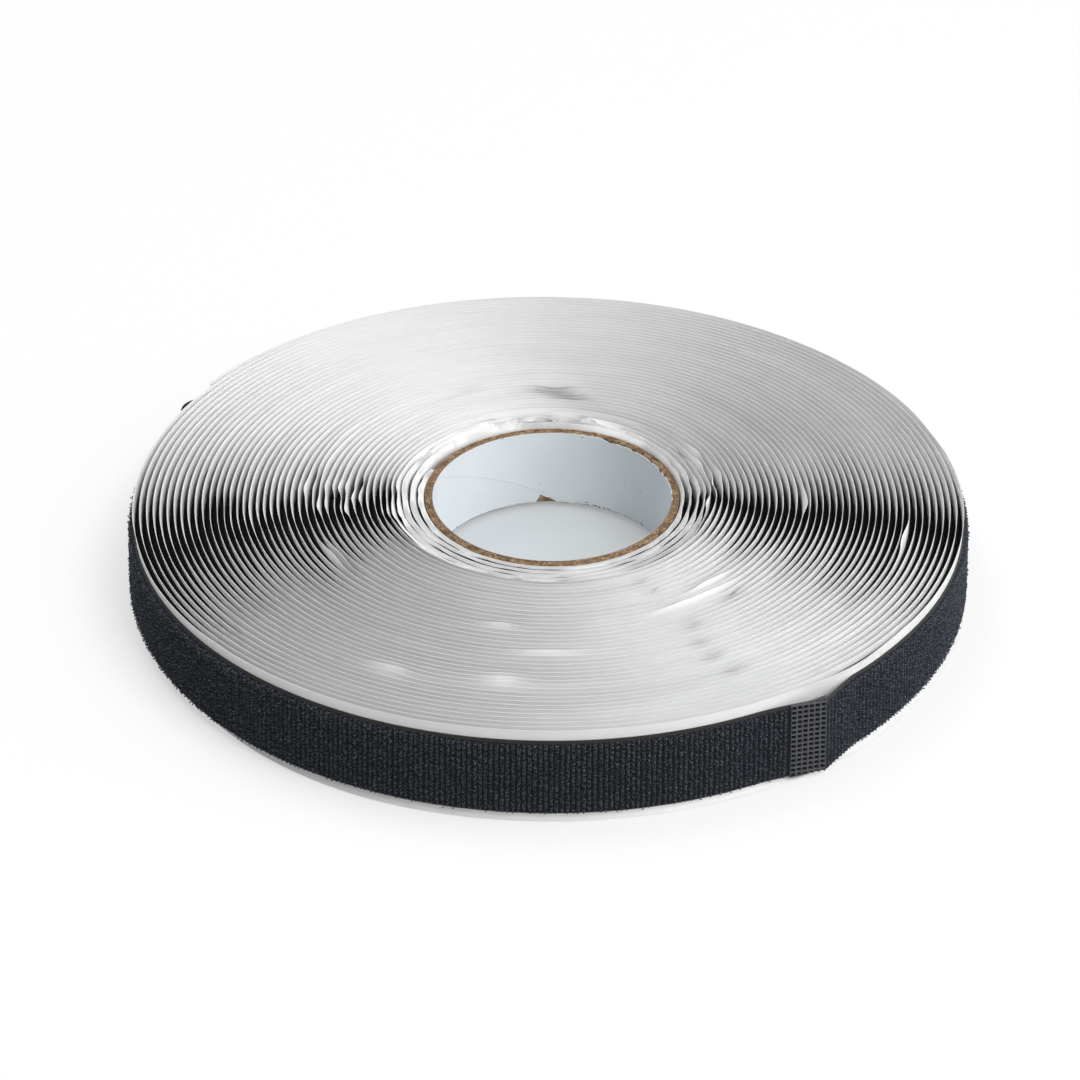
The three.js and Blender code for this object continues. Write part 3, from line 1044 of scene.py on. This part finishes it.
# Turn numbers at the ends of the lap and where the tail begins
lap_first, lap_last = turn_at(LAP_START), turn_at(LAP_END)
tail_first = turn_at(hinges[0] - tail_step / 2)

first_ground = ground_surface(even_turns(open_turn, lap_first, GROUND_STEP), tape_radius)
settle(make_piece("hook_tape_first_length_open", [first_ground], TAPE_FINISHES), "hook_tape",
       "hook_tape_first_length")
second_ground = ground_surface(even_turns(lap_last, tail_first, GROUND_STEP), second_length_radius)
settle(make_piece("hook_tape_second_length_open", [second_ground], TAPE_FINISHES), "hook_tape",
       "hook_tape_second_length")

# %% [markdown]
# ## The open turn: hooks
# The hooks are modelled one by one, because they give the tape its look and its outline. Each is a
# filament that rises from the ground and bends over, and they stand in ribs across the tape, 1.6 mm
# apart. A hook is a square outline carried along five stations, which is enough at this size. All hooks
# of a stretch are worked out together as one array. Neighbours bend in opposite directions.

# %% Hooks
RIB_PITCH = 1.58
HOOK_PITCH = 0.64
HOOK_HEIGHT = 1.5
FILAMENT_WIDTH = 0.17
# Some hooks are longer than the rest, and those next to the lower selvage are worn short
TALL_SHARE, TALL_FACTOR = 0.06, 1.25
WORN_HEIGHT, WORN_WIDTH = 0.65, 2
# Share of the full height that a hook has on average, and how much less or more it may have
MEAN_SHARE, SHORTER, TALLER = 0.9, 0.25, 0.2
# How far a hook may stray along the strip, alone and with its rib, and across it; how far it may tilt
HOOK_SLIP, RIB_SLIP, LEVEL_SLIP, TILT = 0.18, 0.12, 0.2, 0.35
# Centre line of a hook: along the strip and out from the ground, in shares of its height
HOOK_LINE = np.array([(-0.24, -0.05), (-0.23, 0.55), (-0.08, 0.95), (0.15, 0.94), (0.28, 0.58)])
UP = np.array([0.0, 0.0, 1.0])
NEARBY = 1e-4
RIB_TURN = float(even_turns(TURNS - 1, TURNS, RIB_PITCH)[1] - (TURNS - 1))


def unit(vectors):
    """Vectors divided by their lengths."""
    return vectors / np.linalg.norm(vectors, axis=-1, keepdims=True)


def filaments(line):
    """A square outline carried along centre lines: its corners lie half a width to each side, in two
    directions across the line's own."""
    direction = unit(np.gradient(line, axis=2))
    cross = unit(np.cross(direction, UP))
    other = np.cross(cross, direction)
    ring = np.stack([cross + other, other - cross, -cross - other, cross - other], axis=3)
    return line[:, :, :, None] + FILAMENT_WIDTH / 2 * ring


def hook_surface(first, last, radius, seed, height=None, spread=1.0):
    """Hooks in ribs between two turns: the centre line is laid in the plane of the strip's direction
    and its outward normal, in sizes and places that vary by chance, times the spread."""
    turns = even_turns(first, last, RIB_PITCH)[:-1] + 0.5 * RIB_TURN
    levels = np.arange(open_field_bottom, open_field_top, HOOK_PITCH)
    chance = np.random.default_rng(seed)
    shape = (len(turns), len(levels))
    checks = np.add.outer(np.arange(len(turns)), np.arange(len(levels)))
    side = np.where(checks % 2 == 0, 1.0, -1.0)
    rising = smoothstep(levels, open_field_bottom, open_field_bottom + WORN_WIDTH)
    worn = WORN_HEIGHT + (1 - WORN_HEIGHT) * rising
    tall = HOOK_HEIGHT * (MEAN_SHARE + spread * chance.uniform(-SHORTER, TALLER, shape)) * worn
    tall = tall * np.where(chance.random(shape) < TALL_SHARE, TALL_FACTOR, 1.0)
    if height is not None:
        tall = tall * height(turns)[:, None]
    own_slip = chance.uniform(-HOOK_SLIP, HOOK_SLIP, shape)
    rib_slip = chance.uniform(-RIB_SLIP, RIB_SLIP, (len(turns), 1))
    slip = spread * (own_slip + rib_slip)
    level = levels[None] + chance.uniform(-LEVEL_SLIP, LEVEL_SLIP, shape)
    tilt = spread * chance.uniform(-TILT, TILT, shape)

    here = on_roll(turns, radius(turns) + GROUND_THICKNESS, 0.0)
    nearby = on_roll(turns + NEARBY, radius(turns + NEARBY) + GROUND_THICKNESS, 0.0)
    tangent = unit(nearby - here)
    normal = np.cross(tangent, UP)
    along = HOOK_LINE[:, 0] * tall[..., None] * side[..., None] + slip[..., None]
    out = HOOK_LINE[:, 1] * tall[..., None]
    line = (here[:, None, None] + along[..., None] * tangent[:, None, None]
            + out[..., None] * normal[:, None, None])
    sunk = flare(turns)[:, None] * (open_top - level) / (open_top - open_bottom)
    line += sunk[..., None, None] * normal[:, None, None]
    line[..., 2] += level[..., None] + tilt[..., None] * out
    points = filaments(line)
    uv = np.zeros(points.shape[:-1] + (2,))
    return Surface(points.reshape(-1, *points.shape[2:]), uv, FILAMENT)


print(f"{1 / RIB_TURN:.0f} ribs on the last turn, each with a hook every {HOOK_PITCH} mm")

# %% Hooks of the two lengths
# Height left beside the weld and the degrees in which it recovers; height lost on the buckle and its reach
WELD_HOOKS, WELD_REACH = 0.45, 4
BUCKLE_LOSS, BUCKLE_REACH = 0.8, 1.7
# The first length's hooks end this many degrees before the lap
HOOKS_END = 0.35
# How much the hooks vary by chance on each length; those of the second are more even
FIRST_SPREAD, SECOND_SPREAD = 1.0, 0.4
HOOK_SEED = 70


def flattened_by_weld(turn):
    """Hooks beside the weld are pressed down by its tool."""
    recovered = smoothstep(last_turn_degrees(turn), LAP_END, LAP_END + WELD_REACH)
    return WELD_HOOKS + (1 - WELD_HOOKS) * recovered


def flattened_by_buckle(turn):
    """Hooks on the buckle are worn short, so that its edge is clean."""
    away = (last_turn_degrees(turn) - BUCKLE_AT) / (BUCKLE_REACH * BUCKLE_WIDTH)
    return 1 - BUCKLE_LOSS * np.exp(-away ** 2)


first_stretches = np.linspace(open_turn, turn_at(LAP_START - HOOKS_END), 4)
second_stretches = np.linspace(lap_last, tail_first, 3)
stretches = [(a, b, tape_radius, flattened_by_buckle, FIRST_SPREAD)
             for a, b in zip(first_stretches, first_stretches[1:])]
stretches += [(a, b, second_length_radius, flattened_by_weld, SECOND_SPREAD)
              for a, b in zip(second_stretches, second_stretches[1:])]
for k, (first, last, radius, height, spread) in enumerate(stretches):
    hooks = hook_surface(first, last, radius, HOOK_SEED + k, height, spread)
    settle(make_piece(f"tape_hooks_{k + 1}", [hooks], TAPE_FINISHES, crease=60), "hook_tape")

# %% [markdown]
# ## The weld
# Two lengths of tape are joined end over end by a tool with a grid of blunt pins. The hooks melt into a
# smooth plate, and the pins leave rows of nearly square pits. The plate is a fine grid whose height
# is a formula of the place in the pit grid. The first length's end lies under it, and its upper corner
# sticks out above the plate.

# %% Weld plate and lapped end
PIT_COLUMNS, PIT_ROWS = 6, 15
PIT_SHARE = (0.68, 0.64)
PIT_DEPTH = 0.68
# Width of a pit's sides in pitches, and how many pitches its rows climb across the plate
PIT_SIDE, PIT_CLIMB = 0.09, 0.35
PLATE_THICKNESS = 0.72
# Share of the thickness left at the plate's edges, and how far in from them it is full
PLATE_EDGE, PLATE_EDGE_WIDTH = 0.72, 0.6
PLATE_CELL = 0.14
# The first length under the plate: its step, thickness, inset below and extra length in turns
LAPPED_STEP, LAPPED_THICKNESS, LAPPED_INSET, LAPPED_EXTRA = 0.5, 0.56, 0.2, 0.0004
LAPPED_ROWS = 6
# Its upper corner: how far it rises, and the share of the lap at which it starts
CORNER_RISE, CORNER_FROM = 0.9, 0.55


def pit_share(column, row):
    """1 on the floor of a pit and 0 on the plate, with steep sides: the distance from the pit's middle
    in each direction, in pitches, turned into a clipped slope."""
    def slope(place, share):
        away = np.abs(place % 1 - 0.5)
        return np.clip((share / 2 - away) / PIT_SIDE + 0.5, 0, 1)
    return slope(column, PIT_SHARE[0]) * slope(row, PIT_SHARE[1])


def weld_surface():
    """Height of the plate: full in the middle, thinner at its edges, less the pits' depth."""
    turn = even_turns(lap_first, lap_last, PLATE_CELL)
    rows = np.linspace(open_bottom, open_top, round((open_top - open_bottom) / PLATE_CELL) + 1)
    along = np.linspace(0, 1, len(turn))[:, None]
    up = np.linspace(0, 1, len(rows))[None]
    share = pit_share(along * PIT_COLUMNS, up * PIT_ROWS + PIT_CLIMB * along)
    edge = np.minimum(rows - open_bottom, open_top - rows)
    full = PLATE_EDGE + (1 - PLATE_EDGE) * smoothstep(edge, 0, PLATE_EDGE_WIDTH)
    depth = PLATE_THICKNESS * full - PIT_DEPTH * share
    face = second_length_radius(turn)[:, None] + flare(turn)[:, None] * (1 - up)
    # The share of a pit also darkens the pits in the weld's finish: painted shade.
    return Surface(strip_points(turn, face, depth, rows), pit=outline(share, 0 * share))


def lapped_end_surface():
    """End of the first length under the weld; its upper corner rises above the plate's edge."""
    turn = even_turns(lap_first, lap_last + LAPPED_EXTRA, LAPPED_STEP)
    share = np.linspace(0, 1, len(turn))[:, None]
    rows = np.linspace(0, 1, LAPPED_ROWS)[None]
    bottom = open_bottom + LAPPED_INSET
    top = open_top + CORNER_RISE * smoothstep(share, CORNER_FROM, 1)
    heights = bottom + (top - bottom) * rows
    face = tape_radius(turn)[:, None] + flare(turn)[:, None] * (1 - rows)
    sides = side_finishes(0, 1, LAPPED_ROWS)
    return Surface(strip_points(turn, face, LAPPED_THICKNESS, heights), finish=sides)


settle(make_piece("tape_weld", [weld_surface()], [WELD_PLATE]), "hook_tape")
settle(make_piece("hook_tape_first_length_end", [lapped_end_surface()], [WELD_PLATE, TAPE_ADHESIVE]),
       "hook_tape")

# %% [markdown]
# ## The tail
# In the frame the free end lifts in five hinged steps, and its liner follows at a smaller angle. Each
# piece reaches from the middle of one step to the middle of the next, and the last piece runs on to
# the cut end.

# %% Tail pieces
BLEND_REACH = 0.35  # share of a step, to both sides of a hinge
TAIL_CELL = 1.0
TAIL_SEED = 80


def tail_point(degrees):
    """A place on the tail in metres, at mid height."""
    turn = turn_at(degrees)
    return tuple(float(c) for c in on_roll(turn, tape_radius(turn), (tape_bottom + tape_top) / 2) * MM)


for k, hinge in enumerate(hinges):
    number = k + 1
    first = turn_at(hinge - tail_step / 2)
    last = turn_at(FREE_END if number == TAIL_STEPS else hinge + tail_step / 2)
    reach = BLEND_REACH * tail_step
    bend = dict(start=tail_point(hinge - reach), end=tail_point(hinge + reach))
    turns = even_turns(first, last, TAIL_CELL)
    ground = ground_surface(turns, tape_radius)
    hooks = hook_surface(first, last, tape_radius, TAIL_SEED + k)
    tape = make_piece(f"tape_tail_{number}", [ground, hooks], TAPE_FINISHES)
    paper = make_piece(f"liner_tail_{number}", [liner_surface(turns)], [LINER_PAPER])
    for piece, strip, slot, node in ((tape, "tape", "hook_tape", "hook_tape_tail"),
                                     (paper, "liner", "release_liner", "release_liner_tail")):
        before = "roll" if k == 0 else f"{strip}_tail_{k}"
        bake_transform(piece)
        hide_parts(f"{node}_{number}")

# %% [markdown]
# ## Floor and world
# The photograph is a plain product shot on white. The floor is lit like any surface, so it keeps the
# faint shadow round the roll, and further out a share of plain white is mixed in for rays from the
# camera. Inside the bore the floor is bluish, as the facing is, and darker: painted shade. To rays that
# bounce off the roll the floor is darker than it looks, because a white sheet that fills the view would
# light the hooks and the lower border too strongly from below.

# %% Floor
FLOOR_HALF, FLOOR_DROP = 4.0, 0.0002
# Distances in metres from the roll's axis: where the bore's painted shade and tint end, and where the floor
# turns white
BORE_SHADE_FROM, BORE_SHADE_TO = 0.05, 0.12
CLEAR_FROM, CLEAR_TO = 0.115, 0.167
# The first colour is the floor in the bore: bluish and darker, painted shade.
SHADED_BORE_FLOOR, FLOOR_SEEN, FLOOR_BOUNCED = (0.465, 0.51, 0.535), (0.93, 0.93, 0.93), (0.58, 0.58, 0.58)
WHITE_SHARE, BORE_SHARE = 0.9, 0.3


def backdrop_rays(tree_owner):
    """1 for rays that see the backdrop directly, in a mirror or through glass."""
    rays = [tree_owner.node("ShaderNodeLightPath", output=name)
            for name in ("Is Camera Ray", "Is Glossy Ray", "Is Transmission Ray")]
    return rays[0].maths("MAXIMUM", rays[0].maths("MAXIMUM", rays[0], rays[1]), rays[2])


def floor_material():
    """Matt sheet, bluish and darker in the bore as painted shade, and a share of plain white that grows
    away from the roll.
    """
    finish = Finish("studio_floor")
    away = finish.node("ShaderNodeVectorMath", {"operation": "LENGTH"}, {0: finish.place()}, "Value")
    outside = finish.node("ShaderNodeMapRange", {"interpolation_type": "SMOOTHSTEP"},
                          {"Value": away, "From Min": BORE_SHADE_FROM, "From Max": BORE_SHADE_TO})
    bounce = finish.node("ShaderNodeLightPath", output="Is Diffuse Ray")
    sheet = finish.mix(bounce, FLOOR_SEEN, FLOOR_BOUNCED)
    matt = finish.node("ShaderNodeBsdfDiffuse", inputs={"Color": finish.mix(outside, SHADED_BORE_FLOOR, sheet)})
    white = finish.node("ShaderNodeEmission", inputs={"Color": (1, 1, 1, 1), "Strength": 1.0})
    clear = finish.node("ShaderNodeMapRange", {"interpolation_type": "SMOOTHSTEP"},
                        {"Value": away, "From Min": CLEAR_FROM, "From Max": CLEAR_TO,
                         "To Min": BORE_SHARE, "To Max": WHITE_SHARE})
    share = backdrop_rays(finish) * clear
    mixed = finish.node("ShaderNodeMixShader", inputs={0: share, 1: matt, 2: white})
    finish.node("ShaderNodeOutputMaterial", inputs={"Surface": mixed})
    return finish.material


def make_floor():
    """One square just below the roll."""
    mesh = bpy.data.meshes.new("studio_floor")
    half, low = FLOOR_HALF, -FLOOR_DROP
    mesh.from_pydata([(-half, -half, low), (half, -half, low), (half, half, low), (-half, half, low)],
                     [], [(0, 1, 2, 3)])
    mesh.materials.append(floor_material())
    floor = bpy.data.objects.new("studio_floor", mesh)
    bpy.context.scene.collection.objects.link(floor)


make_floor()
print(f"floor {2 * FLOOR_HALF:.0f} m wide")

# %% World
WORLD_LIGHT = 0.36


class World(Finish):
    """The world's node tree, built with the same methods as a material's."""

    def __init__(self, name):
        self.material = bpy.data.worlds.new(name)
        self.material.use_nodes = True
        self.tree = self.material.node_tree
        self.tree.nodes.clear()


def make_world():
    """Even light from all round, and plain white behind everything."""
    world = World("studio_world")
    seen = backdrop_rays(world)
    strength = WORLD_LIGHT + seen * (1 - WORLD_LIGHT)
    light = world.node("ShaderNodeBackground", inputs={"Color": (1, 1, 1, 1), "Strength": strength})
    world.node("ShaderNodeOutputWorld", inputs={"Surface": light})
    bpy.context.scene.world = world.material


make_world()
print(f"world light {WORLD_LIGHT}")

# %% [markdown]
# ## Lamps
# Three soft boxes light the roll: a strong one from the right in front, a weaker and lower one from the
# right, which brightens the hooks on that side, and one from the back at the left for the far edges of
# the paper. They are all one size and equally far away, so that only their angles and powers differ.

# %% Lamps
LAMP_DISTANCE, LAMP_SIZE = 1.6, 0.9
# Name, angle round the roll and height in degrees, power in watts
LAMPS = (("key_light", -48, 47, 16), ("right_light", -8, 28, 9.2), ("back_light", 126, 54, 7))


def area_lamp(name, place, aim, size, power):
    """A square soft box at a place, turned towards a point."""
    lamp = bpy.data.lights.new(name, "AREA")
    lamp.size = size
    lamp.energy = power
    holder = bpy.data.objects.new(name, lamp)
    holder.location = place
    holder.rotation_euler = (Vector(aim) - Vector(place)).to_track_quat("-Z", "Y").to_euler()
    bpy.context.scene.collection.objects.link(holder)


def lamp_place(azimuth, elevation, distance):
    """A point in metres at two angles in degrees from the roll."""
    flat = distance * math.cos(math.radians(elevation))
    return (flat * math.cos(math.radians(azimuth)), flat * math.sin(math.radians(azimuth)),
            distance * math.sin(math.radians(elevation)))


for name, azimuth, elevation, power in LAMPS:
    area_lamp(name, lamp_place(azimuth, elevation, LAMP_DISTANCE), (0, 0, 0), LAMP_SIZE, power)
    print(f"{name}: {power} W at {azimuth}, {elevation} degrees")
bpy.context.scene.view_settings.view_transform = "Standard"

# %% [markdown]
# ## Camera
# The camera was fitted to the core's rims, the tape's edges and the outline of the roll: how high it
# looks from, how far off it is, its focal length in pixels and where the roll's axis lands in the
# picture. Turning it until the axis lands there needs no lens shift.

# %% Camera
# The picture's size, the focal length and the axis in pixels; the distance in metres
PICTURE = 1080
ELEVATION = math.radians(32.38)
DISTANCE = 1.0599
FOCAL_PIXELS = 3295.9
AXIS_PIXEL = (552.08, 489.92)
ROLL_ANGLE = math.radians(0.323)
SENSOR = 36.0


def make_camera():
    """The camera's three directions: level first, then rolled, then turned until the axis lands on its
    pixel, which moves the view's direction by the pixel's distance from the middle over the focal
    length."""
    target = Vector((0, 0, liner_top * MM))
    back = Vector((0, -math.cos(ELEVATION), math.sin(ELEVATION)))
    level_right = Vector((1, 0, 0))
    level_up = level_right.cross(-back)
    right = math.cos(ROLL_ANGLE) * level_right + math.sin(ROLL_ANGLE) * level_up
    up = -math.sin(ROLL_ANGLE) * level_right + math.cos(ROLL_ANGLE) * level_up
    across = (AXIS_PIXEL[0] - PICTURE / 2) / FOCAL_PIXELS
    down = (AXIS_PIXEL[1] - PICTURE / 2) / FOCAL_PIXELS
    ahead = (-back - across * right + down * up).normalized()
    right = (right - ahead * right.dot(ahead)).normalized()
    up = right.cross(ahead)
    data = bpy.data.cameras.new("product_camera")
    data.sensor_width = SENSOR
    data.lens = FOCAL_PIXELS / PICTURE * SENSOR
    camera = bpy.data.objects.new("product_camera", data)
    place = target + DISTANCE * back
    turned = Matrix((right, up, -ahead)).transposed().to_4x4()
    camera.matrix_world = Matrix.Translation(place) @ turned
    bpy.context.scene.collection.objects.link(camera)
    bpy.context.scene.camera = camera
    print(f"camera lens {data.lens:.1f} mm")


make_camera()

# %% Update the scene
bpy.context.view_layer.update()
